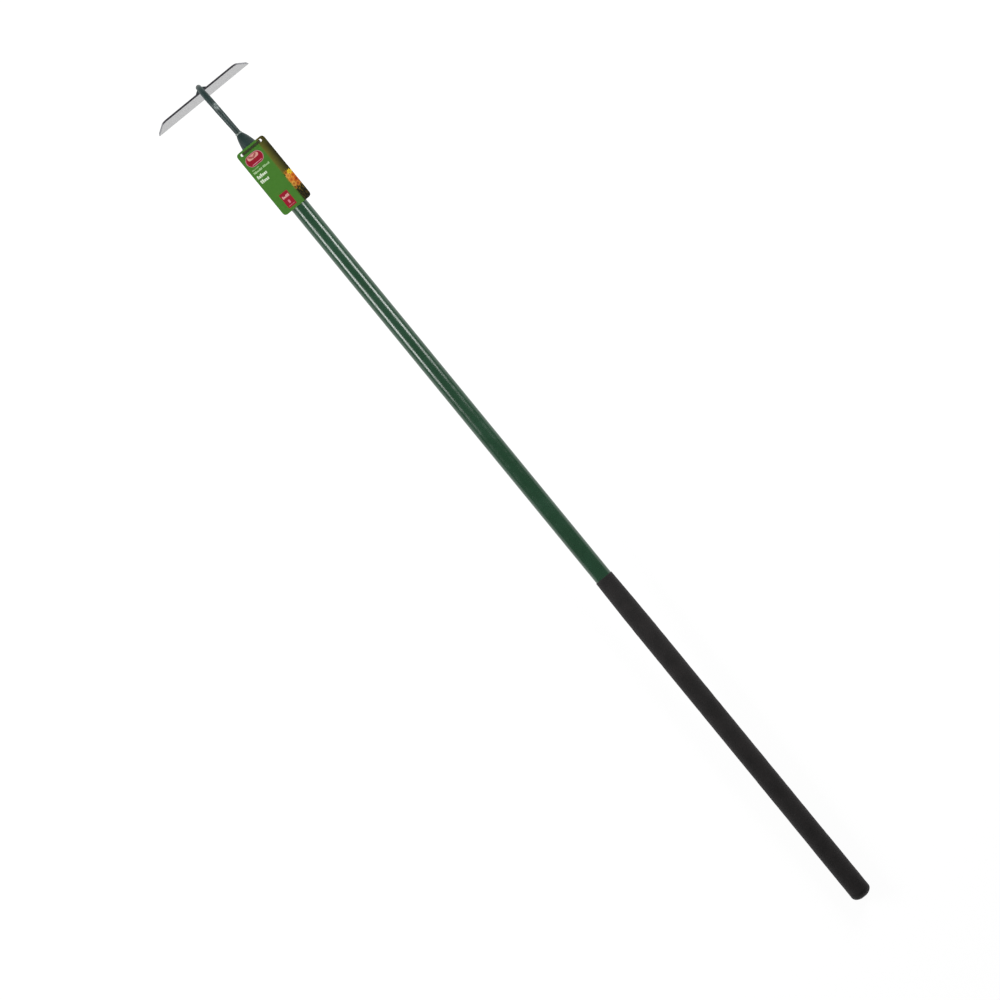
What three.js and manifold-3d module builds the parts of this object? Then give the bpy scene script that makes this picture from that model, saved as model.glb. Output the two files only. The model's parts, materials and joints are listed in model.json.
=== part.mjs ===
// A long-handled draw hoe, lying at rest with its cutting edge and its butt on the floor.
// Millimetres, +Z up, with the head at low X and the butt at high X.
//
// The pieces are placed in the hoe's own group, where the shaft's axis is the line y = z = 0,
// x = 0 is just behind the blade's top edge, and the blade hangs towards -Z. The group is then tilted and
// moved so that the whole hoe rests on z = 0.
import * as THREE from "three";
import { mergeVertices } from "three/addons/utils/BufferGeometryUtils.js";
import Module from "manifold-3d";

// Clearance between pieces that touch on the real hoe.
const GAP = 0.3;
const ROUND_SIDES = 32;

// Shaft tube.
const TUBE_RADIUS = 13.3;
const TUBE_WALL = 1.5;
const TUBE_START = 123;
const TUBE_END = 1484;

// Blade: a plate with slanted ends, wider at its cutting edge.
const BLADE_TOP_WIDTH = 134;
const BLADE_EDGE_WIDTH = 166;
const BLADE_DEPTH = 52;
const BLADE_THICKNESS = 3;
const BLADE_LEAN = THREE.MathUtils.degToRad(10.5);
const BLADE_DROP = 28;
const BLADE_CENTRE_X = -0.7;
const BLADE_CENTRE_Y = -9.8;
const BLADE_TOP_CORNER = 9;
const BLADE_EDGE_CORNER = 1.5;
const BEVEL_LENGTH = 7;
const CUTTING_EDGE = 0.5;

// Neck: a forged rod, a little to one side of the shaft's axis and leaning further as it goes. It
// rises to a crest and bends down the blade's outer face, where it ends in a narrowed foot.
const NECK_OFFSET = 0.55;
const NECK_SKEW = THREE.MathUtils.degToRad(2);
const NECK_RADIUS_AT_SOCKET = 4.4;
const NECK_RADIUS_AT_BEND = 4.85;
const FOOT_WIDTH = 8.2;
const FOOT_THICKNESS = 8.4;
const FOOT_LENGTH = 26;
const FOOT_ABOVE_BLADE = 2;
const CREST_X = 20.5;
const CREST_Z = 5;
const NECK_RISE_X = 70;
const TANG_END_X = 118;
const NECK_STEPS = 44;
const NECK_SIDES = 20;

// Fillet welds beside the foot.
const WELD_WIDTH = 7.5;
const WELD_RISE = 5;
const WELD_LENGTH = 21;

// Socket: a pointed sleeve with a spigot inside the tube, riveted on both sides. Its nose bends
// a little to meet the neck.
const SOCKET_MOUTH_X = 82;
const SOCKET_MOUTH_RADIUS = 5;
const NOSE_FULLNESS = 0.8;
const NOSE_BEND_LENGTH = 18;
const SOCKET_WALL = 1.5;
const SPIGOT_END_X = 156;
const NOSE_STEPS = 9;
const NECK_WELD_LENGTH = 2.6;
const NECK_WELD_HEIGHT = 0.9;
const NECK_WELD_SIDES = 24;
const RIVET_X = 138;
const RIVET_HEAD_RADIUS = 3.25;
const RIVET_HEAD_HEIGHT = 1.4;
const RIVET_RIM = 0.3;
const RIVET_SHANK_RADIUS = 1.6;
const RIVET_TAIL_RADIUS = 2.3;
const RIVET_TAIL_LENGTH = 2.2;
const RIVET_SIDES = 14;

// Hang card, held by a cable tie and creased below it.
const CARD_START = 102.9;
const CARD_LENGTH = 112;
const CARD_WIDTH = 49.6;
const CARD_CENTRE_Y = -1.1;
const CARD_THICKNESS = 0.6;
const CARD_CORNER = 6;
const CARD_HOLE_RADIUS = 2.3;
const CARD_HOLE_SPACING = 33.5;
const CREASE_X = 113.6;
const CREASE_GAP = 0.4;

// Cable tie through the card's two holes and round the socket.
const TIE_CENTRE_X = 108;
const TIE_WIDTH = 3.6;
const TIE_THICKNESS = 1;
const TIE_HEAD_WIDTH = 6;
const TIE_HEAD_LENGTH = 7;
const TIE_HEAD_HEIGHT = 4.5;
const TIE_TAIL_LENGTH = 2.5;

// Grip: a long sleeve with a closed end, a flattened dome with a small flat disc in the middle.
const GRIP_START = 905.4;
const GRIP_END = 1496.4;
const GRIP_LIP_RADIUS = 14.3;
const GRIP_RADIUS = 15.55;
const GRIP_END_RADIUS = 15.75;
const GRIP_FLARE_LENGTH = 105;
const GRIP_SWELL_LENGTH = 90;
const GRIP_DOME_HEIGHT = 10.2;
const GRIP_FLAT_RADIUS = 4.5;
const GRIP_FLAT_ANGLE = Math.acos(GRIP_FLAT_RADIUS / GRIP_END_RADIUS);
const GRIP_DOME_START = GRIP_END - GRIP_DOME_HEIGHT * Math.sin(GRIP_FLAT_ANGLE);

// Plug in the tube's end, inside the grip.
const PLUG_LENGTH = 25;
const PLUG_FLANGE_THICKNESS = 2.5;

const COLOURS = {
  groundSteel: 0xc4c4c8,
  darkPaint: 0x30423e,
  weldMetal: 0x8e9894,
  greenPaint: 0x244a30,
  rivetSteel: 0xb0b2b4,
  grip: 0x2b2a2a,
  plug: 0x1c1c1e,
  card: 0x46803a,
  tie: 0x3c4a22,
};

const wasm = await Module();
wasm.setup();

const hoe = new THREE.Group();

/** Adds one named piece to a group. */
function addPiece(name, geometry, colour, { roughness = 0.5, metalness = 0, group = hoe } = {}) {
  const material = new THREE.MeshStandardMaterial({ color: colour, roughness, metalness });
  const mesh = new THREE.Mesh(geometry, material);
  mesh.name = name;
  group.add(mesh);
  return mesh;
}

/** Turns a closed geometry into a solid that can be cut and joined. */
function toSolid(geometry) {
  const bare = geometry.clone();
  bare.deleteAttribute("normal");
  bare.deleteAttribute("uv");
  const merged = mergeVertices(bare);
  return new wasm.Manifold(new wasm.Mesh({
    numProp: 3,
    vertProperties: Float32Array.from(merged.attributes.position.array),
    triVerts: Uint32Array.from(merged.index.array),
  }));
}

/** Turns a solid back into a geometry. */
function toGeometry(solid) {
  const mesh = solid.getMesh();
  const geometry = new THREE.BufferGeometry();
  geometry.setAttribute("position", new THREE.BufferAttribute(Float32Array.from(mesh.vertProperties), 3));
  geometry.setIndex(new THREE.BufferAttribute(Uint32Array.from(mesh.triVerts), 1));
  geometry.computeVertexNormals();
  return geometry;
}

/** A solid turned about the X axis from [x, radius] pairs that end on the axis or on their start. */
function turned(profile, sides = ROUND_SIDES) {
  const points = profile.map(([x, radius]) => new THREE.Vector2(radius, x));
  return new THREE.LatheGeometry(points, sides).rotateZ(-Math.PI / 2);
}

/** A closed solid through rings of points, with flat ends. */
function lofted(rings) {
  const sides = rings[0].length;
  const vertices = rings.flat().concat(ringCentre(rings[0]), ringCentre(rings.at(-1)));
  const startCentre = vertices.length - 2;
  const endCentre = vertices.length - 1;
  const lastRing = (rings.length - 1) * sides;
  const triangles = [];
  for (let side = 0; side < sides; side += 1) {
    const next = (side + 1) % sides;
    triangles.push(startCentre, next, side);
    triangles.push(endCentre, lastRing + side, lastRing + next);
    for (let ring = 0; ring < lastRing; ring += sides) {
      triangles.push(ring + side, ring + next, ring + sides + next);
      triangles.push(ring + side, ring + sides + next, ring + sides + side);
    }
  }
  const geometry = new THREE.BufferGeometry().setFromPoints(vertices);
  geometry.setIndex(triangles);
  geometry.computeVertexNormals();
  return geometry;
}

function ringCentre(ring) {
  const sum = ring.reduce((total, point) => total.add(point), new THREE.Vector3());
  return sum.divideScalar(ring.length);
}

// The blade's own frame: x across the hoe, y up the plate from its top edge, z towards the user.
const plateFrame = new THREE.Matrix4()
  .makeBasis(
    new THREE.Vector3(0, 1, 0),
    new THREE.Vector3(-Math.sin(BLADE_LEAN), 0, Math.cos(BLADE_LEAN)),
    new THREE.Vector3(Math.cos(BLADE_LEAN), 0, Math.sin(BLADE_LEAN)),
  )
  .setPosition(BLADE_CENTRE_X, BLADE_CENTRE_Y, -BLADE_DROP);
const plate = new THREE.Group();
plate.applyMatrix4(plateFrame);
hoe.add(plate);

/** How far to the side the neck's axis lies at x. */
function neckY(x) {
  return -NECK_OFFSET - (TUBE_START - x) * Math.tan(NECK_SKEW);
}

/** How far to the side the socket's axis lies at x: none behind its nose, and as the neck's in front. */
function socketY(x) {
  return neckY(x) * THREE.MathUtils.smoothstep(TUBE_START - x, 0, NOSE_BEND_LENGTH);
}

const NECK_FOOT_X = neckY(0) - BLADE_CENTRE_Y;
const FOOT_CENTRE_Z = -(BLADE_THICKNESS / 2 + GAP + FOOT_THICKNESS / 2);

function makeBlade() {
  const top = BLADE_TOP_WIDTH / 2;
  const edge = BLADE_EDGE_WIDTH / 2;
  const corners = [
    { x: -edge, y: -BLADE_DEPTH, radius: BLADE_EDGE_CORNER },
    { x: edge, y: -BLADE_DEPTH, radius: BLADE_EDGE_CORNER },
    { x: top, y: 0, radius: BLADE_TOP_CORNER },
    { x: -top, y: 0, radius: BLADE_TOP_CORNER },
  ];
  const outline = roundedOutline(corners);
  const slab = new THREE.ExtrudeGeometry(outline, {
    depth: BLADE_THICKNESS,
    bevelEnabled: false,
    curveSegments: 5,
  }).translate(0, 0, -BLADE_THICKNESS / 2);

  // The bevel is ground off the outer face, down to the cutting edge.
  const beyond = 2;
  const slope = (BLADE_THICKNESS - CUTTING_EDGE) / BEVEL_LENGTH;
  const outerFace = -BLADE_THICKNESS / 2;
  const wedge = new THREE.Shape([
    new THREE.Vector2(outerFace - slope * beyond, -BLADE_DEPTH + BEVEL_LENGTH + beyond),
    new THREE.Vector2(outerFace + slope * (BEVEL_LENGTH + beyond), -BLADE_DEPTH - beyond),
    new THREE.Vector2(outerFace - slope * beyond, -BLADE_DEPTH - beyond),
  ]);
  const wedgeWidth = BLADE_EDGE_WIDTH + 2 * beyond;
  const cutter = new THREE.ExtrudeGeometry(wedge, { depth: wedgeWidth, bevelEnabled: false })
    .rotateY(-Math.PI / 2)
    .translate(wedgeWidth / 2, 0, 0);
  return toGeometry(toSolid(slab).subtract(toSolid(cutter)));
}

/** An outline through corners, each rounded by its own radius. */
function roundedOutline(corners) {
  const shape = new THREE.Shape();
  corners.forEach((corner, i) => {
    const before = corners[(i + corners.length - 1) % corners.length];
    const after = corners[(i + 1) % corners.length];
    const start = towards(corner, before, corner.radius);
    const end = towards(corner, after, corner.radius);
    if (i === 0) {
      shape.moveTo(start.x, start.y);
    } else {
      shape.lineTo(start.x, start.y);
    }
    shape.quadraticCurveTo(corner.x, corner.y, end.x, end.y);
  });
  shape.closePath();
  return shape;
}

function towards(from, to, distance) {
  const step = new THREE.Vector2(to.x - from.x, to.y - from.y).setLength(distance);
  return new THREE.Vector2(from.x, from.y).add(step);
}

/** The neck's centre line, from the end of its tang to the end of its foot. */
function neckPath() {
  const onPlate = (y) => new THREE.Vector3(NECK_FOOT_X, y, FOOT_CENTRE_Z).applyMatrix4(plateFrame);
  const onNeck = (x, z) => new THREE.Vector3(x, neckY(x), z);
  const tangEnd = onNeck(TANG_END_X, 0);
  const riseStart = onNeck(NECK_RISE_X, 0);
  const crest = onNeck(CREST_X, CREST_Z);
  const footTop = onPlate(FOOT_ABOVE_BLADE);
  const footEnd = onPlate(FOOT_ABOVE_BLADE - FOOT_LENGTH);
  const forward = new THREE.Vector3(-1, -Math.tan(NECK_SKEW), 0).normalize();
  const upThePlate = new THREE.Vector3(0, 1, 0).transformDirection(plateFrame);

  const riseHandle = (NECK_RISE_X - CREST_X) * 0.4;
  const turn = Math.PI / 2 + BLADE_LEAN;
  const bendRadius = (CREST_Z - footTop.z) / (1 + Math.sin(BLADE_LEAN));
  const bendHandle = (4 / 3) * Math.tan(turn / 4) * bendRadius;

  const path = new THREE.CurvePath();
  path.add(new THREE.LineCurve3(tangEnd, riseStart));
  path.add(new THREE.CubicBezierCurve3(
    riseStart,
    riseStart.clone().addScaledVector(forward, riseHandle),
    crest.clone().addScaledVector(forward, -riseHandle),
    crest,
  ));
  path.add(new THREE.CubicBezierCurve3(
    crest,
    crest.clone().addScaledVector(forward, bendHandle),
    footTop.clone().addScaledVector(upThePlate, bendHandle),
    footTop,
  ));
  path.add(new THREE.LineCurve3(footTop, footEnd));
  return path;
}

function makeNeck() {
  const path = neckPath();
  const length = path.getLength();
  const footStart = length - FOOT_LENGTH;
  const bendStart = TANG_END_X - CREST_X;
  const across = new THREE.Vector3(0, 1, 0);
  const rings = [];
  for (let step = 0; step <= NECK_STEPS; step += 1) {
    const u = step / NECK_STEPS;
    const along = u * length;
    const centre = path.getPointAt(u);
    const outward = path.getTangentAt(u).cross(across).normalize();
    const round = THREE.MathUtils.lerp(NECK_RADIUS_AT_SOCKET, NECK_RADIUS_AT_BEND,
      THREE.MathUtils.smoothstep(along, TANG_END_X - SOCKET_MOUTH_X, bendStart));
    const flattening = THREE.MathUtils.smoothstep(along, bendStart, footStart);
    const tip = Math.sqrt(Math.min(1, (length - along + 1.5) / (FOOT_THICKNESS / 2 + 1.5)));
    const halfWidth = THREE.MathUtils.lerp(round, FOOT_WIDTH / 2, flattening) * tip;
    const halfHeight = THREE.MathUtils.lerp(round, FOOT_THICKNESS / 2, flattening) * tip;
    const ring = [];
    for (let side = 0; side < NECK_SIDES; side += 1) {
      const angle = (2 * Math.PI * side) / NECK_SIDES;
      ring.push(centre.clone()
        .addScaledVector(across, halfWidth * Math.cos(angle))
        .addScaledVector(outward, halfHeight * Math.sin(angle)));
    }
    rings.push(ring);
  }
  return lofted(rings);
}

/** One fillet between the neck's foot and the blade's outer face; side is -1 or 1 across the hoe. */
function makeBladeWeld(side) {
  const halfWidth = FOOT_WIDTH / 2 + GAP;
  const halfHeight = FOOT_THICKNESS / 2 + GAP;
  const centre = FOOT_THICKNESS / 2 + GAP;
  const onFoot = (degrees) => {
    const angle = THREE.MathUtils.degToRad(degrees);
    return [side * halfWidth * Math.cos(angle), centre + halfHeight * Math.sin(angle)];
  };
  const section = new THREE.Shape();
  section.moveTo(side * (halfWidth + WELD_WIDTH), GAP);
  const lowest = -THREE.MathUtils.radToDeg(Math.asin((centre - GAP) / halfHeight)) + 1;
  section.lineTo(onFoot(lowest)[0], GAP);
  for (let i = 0; i <= 6; i += 1) {
    section.lineTo(...onFoot(THREE.MathUtils.lerp(lowest, WELD_RISE, i / 6)));
  }
  const [topX] = onFoot(WELD_RISE);
  section.quadraticCurveTo(topX + side * 3, GAP + 2.4, side * (halfWidth + WELD_WIDTH), GAP + 0.25);
  section.closePath();
  return new THREE.ExtrudeGeometry(section, {
    depth: WELD_LENGTH,
    bevelEnabled: false,
    curveSegments: 5,
  })
    .rotateX(-Math.PI / 2)
    .translate(NECK_FOOT_X, -WELD_LENGTH - 0.4, -BLADE_THICKNESS / 2);
}

/** The bead where the neck enters the socket. */
function makeNeckWeld() {
  const inner = NECK_RADIUS_AT_SOCKET + GAP;
  const half = NECK_WELD_LENGTH / 2;
  const centreX = SOCKET_MOUTH_X - GAP - half;
  const bead = [];
  for (let i = 0; i <= 6; i += 1) {
    const angle = Math.PI * (1 - i / 6);
    bead.push([centreX + half * Math.cos(angle), inner + 0.1 + NECK_WELD_HEIGHT * Math.sin(angle)]);
  }
  const start = [centreX - half, inner];
  return leaned(turned([start, ...bead, [centreX + half, inner], start], NECK_WELD_SIDES));
}

/** Moves a turned piece's vertices sideways, on to the socket's own axis. */
function leaned(geometry) {
  const position = geometry.attributes.position;
  for (let i = 0; i < position.count; i += 1) {
    position.setY(i, position.getY(i) + socketY(position.getX(i)));
  }
  geometry.computeVertexNormals();
  return geometry;
}

/** The socket's outer radius along its nose, from the mouth to the shoulder. */
function noseRadius(t) {
  const shoulder = TUBE_RADIUS - SOCKET_MOUTH_RADIUS;
  return SOCKET_MOUTH_RADIUS + shoulder * Math.sin((Math.PI / 2) * t ** NOSE_FULLNESS);
}

const SHOULDER_X = TUBE_START - GAP;
const SPIGOT_RADIUS = TUBE_RADIUS - TUBE_WALL - GAP;
const SPIGOT_BORE = SPIGOT_RADIUS - SOCKET_WALL;
const MOUTH_BORE = NECK_RADIUS_AT_SOCKET + GAP;

function makeSocket() {
  const outside = [];
  for (let i = 0; i <= NOSE_STEPS; i += 1) {
    const t = (i / NOSE_STEPS) ** 1.4;
    outside.push([THREE.MathUtils.lerp(SOCKET_MOUTH_X, SHOULDER_X, t), noseRadius(t)]);
  }
  const boreEndX = SOCKET_MOUTH_X + 14;
  const profile = [
    [SOCKET_MOUTH_X, MOUTH_BORE],
    ...outside,
    [SHOULDER_X, SPIGOT_RADIUS],
    [SPIGOT_END_X, SPIGOT_RADIUS],
    [SPIGOT_END_X, SPIGOT_BORE],
    [SHOULDER_X - 2, SPIGOT_BORE],
    [boreEndX, MOUTH_BORE + 0.6],
    [SOCKET_MOUTH_X, MOUTH_BORE],
  ];
  const sleeve = leaned(turned(profile));
  return toGeometry(toSolid(sleeve).subtract(rivetHoles()));
}

/** The hole for both rivets, straight across the shaft. */
function rivetHoles() {
  const hole = new THREE.CylinderGeometry(
    RIVET_SHANK_RADIUS + GAP, RIVET_SHANK_RADIUS + GAP, 3 * TUBE_RADIUS, RIVET_SIDES,
  );
  return toSolid(hole.translate(RIVET_X, 0, 0));
}

function makeTube() {
  const bore = TUBE_RADIUS - TUBE_WALL;
  const pipe = turned([
    [TUBE_START, bore],
    [TUBE_START, TUBE_RADIUS],
    [TUBE_END, TUBE_RADIUS],
    [TUBE_END, bore],
    [TUBE_START, bore],
  ]);
  return toGeometry(toSolid(pipe).subtract(rivetHoles()));
}

/** A blind rivet through the tube and the spigot; side is -1 or 1 across the hoe. */
function makeRivet(side) {
  const head = TUBE_RADIUS + GAP;
  const tail = SPIGOT_BORE - 0.7;
  const dome = [];
  for (let i = 0; i <= 4; i += 1) {
    const angle = (Math.PI / 2) * (i / 4);
    dome.push([
      head + RIVET_RIM + (RIVET_HEAD_HEIGHT - RIVET_RIM) * Math.sin(angle),
      RIVET_HEAD_RADIUS * Math.cos(angle),
    ]);
  }
  dome.at(-1)[1] = 0;
  const rivet = turned([
    [tail - RIVET_TAIL_LENGTH, 0],
    [tail - RIVET_TAIL_LENGTH, RIVET_TAIL_RADIUS - 0.5],
    [tail, RIVET_TAIL_RADIUS],
    [tail, RIVET_SHANK_RADIUS],
    [head, RIVET_SHANK_RADIUS],
    [head, RIVET_HEAD_RADIUS],
    ...dome,
  ], RIVET_SIDES);
  return rivet.rotateZ(side * Math.PI / 2).translate(RIVET_X, 0, 0);
}

const CARD_UNDERSIDE = TUBE_RADIUS + GAP;
const CARD_TOP = CARD_UNDERSIDE + CARD_THICKNESS;

/** A stretch of the card from x = start to x = end, with its own corners and holes. */
function makeCard(start, end, startCorner, endCorner, holes) {
  const left = CARD_CENTRE_Y - CARD_WIDTH / 2;
  const right = CARD_CENTRE_Y + CARD_WIDTH / 2;
  const outline = roundedOutline([
    { x: start, y: left, radius: startCorner },
    { x: end, y: left, radius: endCorner },
    { x: end, y: right, radius: endCorner },
    { x: start, y: right, radius: startCorner },
  ]);
  for (const y of holes) {
    outline.holes.push(new THREE.Path().absarc(TIE_CENTRE_X, y, CARD_HOLE_RADIUS, 0, 2 * Math.PI));
  }
  return new THREE.ExtrudeGeometry(outline, {
    depth: CARD_THICKNESS,
    bevelEnabled: false,
    curveSegments: 8,
  })
    .translate(0, 0, CARD_UNDERSIDE);
}

/** The tie's closed outline across the shaft, moved out from its middle line by offset. */
function tieOutline(offset, PathType) {
  const topZ = CARD_TOP + GAP + TIE_THICKNESS / 2 + offset;
  const holeChord = Math.sqrt(CARD_HOLE_RADIUS ** 2 - (TIE_WIDTH / 2) ** 2);
  const halfTop = CARD_HOLE_SPACING / 2 - holeChord + GAP + TIE_THICKNESS / 2 + offset;
  const left = CARD_CENTRE_Y - halfTop;
  const right = CARD_CENTRE_Y + halfTop;
  const corner = TIE_THICKNESS + offset;
  const back = TUBE_RADIUS + TIE_THICKNESS / 2 + offset;
  const outline = new PathType();
  outline.moveTo(right - corner, topZ);
  outline.lineTo(left + corner, topZ);
  outline.quadraticCurveTo(left, topZ, left, topZ - corner);
  outline.lineTo(CARD_CENTRE_Y - back, 0);
  outline.absarc(CARD_CENTRE_Y, 0, back, Math.PI, 2 * Math.PI, false);
  outline.lineTo(right, topZ - corner);
  outline.quadraticCurveTo(right, topZ, right - corner, topZ);
  return outline;
}

function makeTie() {
  const outline = tieOutline(TIE_THICKNESS / 2, THREE.Shape);
  outline.holes.push(tieOutline(-TIE_THICKNESS / 2, THREE.Path));
  const loop = new THREE.ExtrudeGeometry(outline, {
    depth: TIE_WIDTH,
    bevelEnabled: false,
    curveSegments: 14,
  })
    .rotateX(Math.PI / 2)
    .rotateZ(Math.PI / 2)
    .translate(TIE_CENTRE_X - TIE_WIDTH / 2, 0, 0);
  const headZ = -TUBE_RADIUS - 0.2 - TIE_HEAD_HEIGHT / 2;
  const head = new THREE.BoxGeometry(TIE_HEAD_WIDTH, TIE_HEAD_LENGTH, TIE_HEAD_HEIGHT)
    .translate(TIE_CENTRE_X, 0, headZ);
  const tail = new THREE.BoxGeometry(TIE_WIDTH, TIE_THICKNESS, TIE_TAIL_LENGTH + 1)
    .translate(TIE_CENTRE_X, 0, headZ - TIE_HEAD_HEIGHT / 2 - TIE_TAIL_LENGTH / 2);
  return toGeometry(toSolid(loop).add(toSolid(head)).add(toSolid(tail)));
}

function makeGrip() {
  const bore = TUBE_RADIUS + GAP;
  const boreEnd = TUBE_END + PLUG_FLANGE_THICKNESS + 2 * GAP;
  const flare = [];
  for (let i = 0; i <= 6; i += 1) {
    const t = i / 6;
    flare.push([
      GRIP_START + 0.8 + GRIP_FLARE_LENGTH * t,
      THREE.MathUtils.lerp(GRIP_LIP_RADIUS, GRIP_RADIUS, Math.sin((Math.PI / 2) * t)),
    ]);
  }
  const dome = [];
  for (let i = 0; i <= 7; i += 1) {
    const angle = (GRIP_FLAT_ANGLE * i) / 7;
    dome.push([GRIP_DOME_START + GRIP_DOME_HEIGHT * Math.sin(angle), GRIP_END_RADIUS * Math.cos(angle)]);
  }
  return turned([
    [boreEnd, 0],
    [boreEnd, bore],
    [GRIP_START, bore],
    [GRIP_START, GRIP_LIP_RADIUS - 0.5],
    ...flare,
    [GRIP_END - GRIP_SWELL_LENGTH - 20, GRIP_RADIUS],
    [GRIP_END - GRIP_SWELL_LENGTH, GRIP_END_RADIUS],
    ...dome,
    [GRIP_END, 0],
  ], 40);
}

function makePlug() {
  const flangeX = TUBE_END + GAP;
  const body = TUBE_RADIUS - TUBE_WALL - GAP;
  return turned([
    [TUBE_END - PLUG_LENGTH, 0],
    [TUBE_END - PLUG_LENGTH, body - 1],
    [TUBE_END - PLUG_LENGTH + 3, body],
    [flangeX, body],
    [flangeX, TUBE_RADIUS - 0.1],
    [flangeX + PLUG_FLANGE_THICKNESS, TUBE_RADIUS - 0.1],
    [flangeX + PLUG_FLANGE_THICKNESS, 0],
  ]);
}

/** The tilt that brings the cutting edge and the grip's rounded end down to one floor. */
function restTilt() {
  const edge = new THREE.Vector3(0, -BLADE_DEPTH, BLADE_THICKNESS / 2 - CUTTING_EDGE);
  edge.applyMatrix4(plateFrame);
  return Math.atan2(-edge.z - GRIP_END_RADIUS, GRIP_DOME_START - edge.x);
}

const painted = { roughness: 0.4, metalness: 0.2 };
const bareMetal = { roughness: 0.35, metalness: 0.9 };
const soft = { roughness: 0.85 };

addPiece("blade", makeBlade(), COLOURS.groundSteel, { ...bareMetal, group: plate });
addPiece("blade_weld_left", makeBladeWeld(-1), COLOURS.darkPaint, { ...painted, group: plate });
addPiece("blade_weld_right", makeBladeWeld(1), COLOURS.darkPaint, { ...painted, group: plate });
addPiece("neck", makeNeck(), COLOURS.darkPaint, painted);
addPiece("neck_weld", makeNeckWeld(), COLOURS.weldMetal, painted);
addPiece("socket", makeSocket(), COLOURS.darkPaint, painted);
addPiece("shaft_tube", makeTube(), COLOURS.greenPaint, painted);
addPiece("rivet_left", makeRivet(-1), COLOURS.rivetSteel, bareMetal);
addPiece("rivet_right", makeRivet(1), COLOURS.rivetSteel, bareMetal);
addPiece("tube_plug", makePlug(), COLOURS.plug, soft);
addPiece("grip", makeGrip(), COLOURS.grip, soft);

const holes = [-1, 1].map((side) => CARD_CENTRE_Y + side * CARD_HOLE_SPACING / 2);
addPiece("card_top", makeCard(CARD_START, CREASE_X, CARD_CORNER, 0.01, holes), COLOURS.card);
addPiece("card_flap", makeCard(CREASE_X + CREASE_GAP, CARD_START + CARD_LENGTH, 0.01, CARD_CORNER, []),
  COLOURS.card);
addPiece("cable_tie", makeTie(), COLOURS.tie);

hoe.rotation.y = restTilt();
const part = new THREE.Group();
part.add(hoe);
const box = new THREE.Box3().setFromObject(part, true);
const middle = box.getCenter(new THREE.Vector3());
hoe.position.set(-middle.x, -middle.y, -box.min.z);

export default part;
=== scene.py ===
import json
import math

import bmesh
import bpy
import numpy as np
from mathutils import Matrix, Vector, noise
from mathutils.geometry import delaunay_2d_cdt


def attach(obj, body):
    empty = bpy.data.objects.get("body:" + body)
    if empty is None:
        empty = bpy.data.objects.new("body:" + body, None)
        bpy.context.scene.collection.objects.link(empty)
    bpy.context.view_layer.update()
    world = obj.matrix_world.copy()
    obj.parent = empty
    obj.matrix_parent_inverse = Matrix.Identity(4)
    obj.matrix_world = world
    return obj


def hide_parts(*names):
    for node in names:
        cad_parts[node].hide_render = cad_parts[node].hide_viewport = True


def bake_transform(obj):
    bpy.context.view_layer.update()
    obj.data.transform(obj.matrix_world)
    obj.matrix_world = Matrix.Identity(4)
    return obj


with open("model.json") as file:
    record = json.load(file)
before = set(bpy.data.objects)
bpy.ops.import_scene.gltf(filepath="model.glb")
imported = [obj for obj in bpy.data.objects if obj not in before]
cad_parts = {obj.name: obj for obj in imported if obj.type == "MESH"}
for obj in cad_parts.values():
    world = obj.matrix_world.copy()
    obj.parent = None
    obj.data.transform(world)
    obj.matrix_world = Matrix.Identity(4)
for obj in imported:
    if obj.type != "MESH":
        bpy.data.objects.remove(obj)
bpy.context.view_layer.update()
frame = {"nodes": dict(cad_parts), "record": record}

# Lengths are millimetres in the hoe's own frame: x runs along the shaft's axis from just behind
# the blade's top edge to the butt, y runs across the hoe, and z points away from the floor.
MM = 0.001
BUTT_X = 1496.4
# The blade's mount lies this far below the plate's top edge, as y in the plate's own frame.
PLATE_MOUNT_Y = -24

record = frame["record"]
mounts = {mount["name"]: mount for mount in record["mounts"]}


def axes(along, across, origin):
    """The matrix whose x and y are these directions, at an origin in metres."""
    matrix = Matrix((along, across, along.cross(across))).transposed().to_4x4()
    matrix.translation = origin
    return matrix


def hoe_axes():
    """The hoe's own frame, found from the butt's mount."""
    butt = mounts["butt_end"]
    along = Vector(butt["axis"]).normalized()
    return axes(along, Vector((0, 1, 0)), Vector(butt["pos_m"]) - along * BUTT_X * MM)


HOE = hoe_axes()
TO_HOE = HOE.inverted()


def span(node):
    """A CAD node's lowest and highest corners in the hoe's own frame."""
    points = np.array([TO_HOE @ v.co for v in frame["nodes"][node].data.vertices]) / MM
    return points.min(0), points.max(0)


# ------------------------------------ sizes read from the frame

TUBE_LOW, TUBE_HIGH = span("shaft_tube")
GRIP_LOW, GRIP_HIGH = span("grip")
CARD_LOW, _ = span("card_top")
_, CARD_HIGH = span("card_flap")
TIE_LOW, TIE_HIGH = span("cable_tie")
SOCKET_LOW, SOCKET_HIGH = span("socket")
RIVET_LOW, RIVET_HIGH = span("rivet_right")

TUBE_RADIUS = TUBE_HIGH[2]
TUBE_START = TUBE_LOW[0]
CARD_WIDTH = CARD_HIGH[1] - CARD_LOW[1]
CARD_LENGTH = CARD_HIGH[0] - CARD_LOW[0]
CARD_CENTRE_Y = (CARD_LOW[1] + CARD_HIGH[1]) / 2
CREASE_X = (span("card_top")[1][0] + span("card_flap")[0][0]) / 2
TIE_CENTRE_X = (TIE_LOW[0] + TIE_HIGH[0]) / 2
RIVET_X = (RIVET_LOW[0] + RIVET_HIGH[0]) / 2

# ------------------------------------ sizes as in the CAD part

# The clearance that stands for a welded or pressed contact.
GAP = 0.3

BLADE_TOP_WIDTH = 134
BLADE_EDGE_WIDTH = 166
BLADE_DEPTH = 52
BLADE_THICKNESS = 3
BLADE_TOP_CORNER = 9
BLADE_EDGE_CORNER = 1.5
BEVEL_LENGTH = 7
CUTTING_EDGE = 0.5

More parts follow.
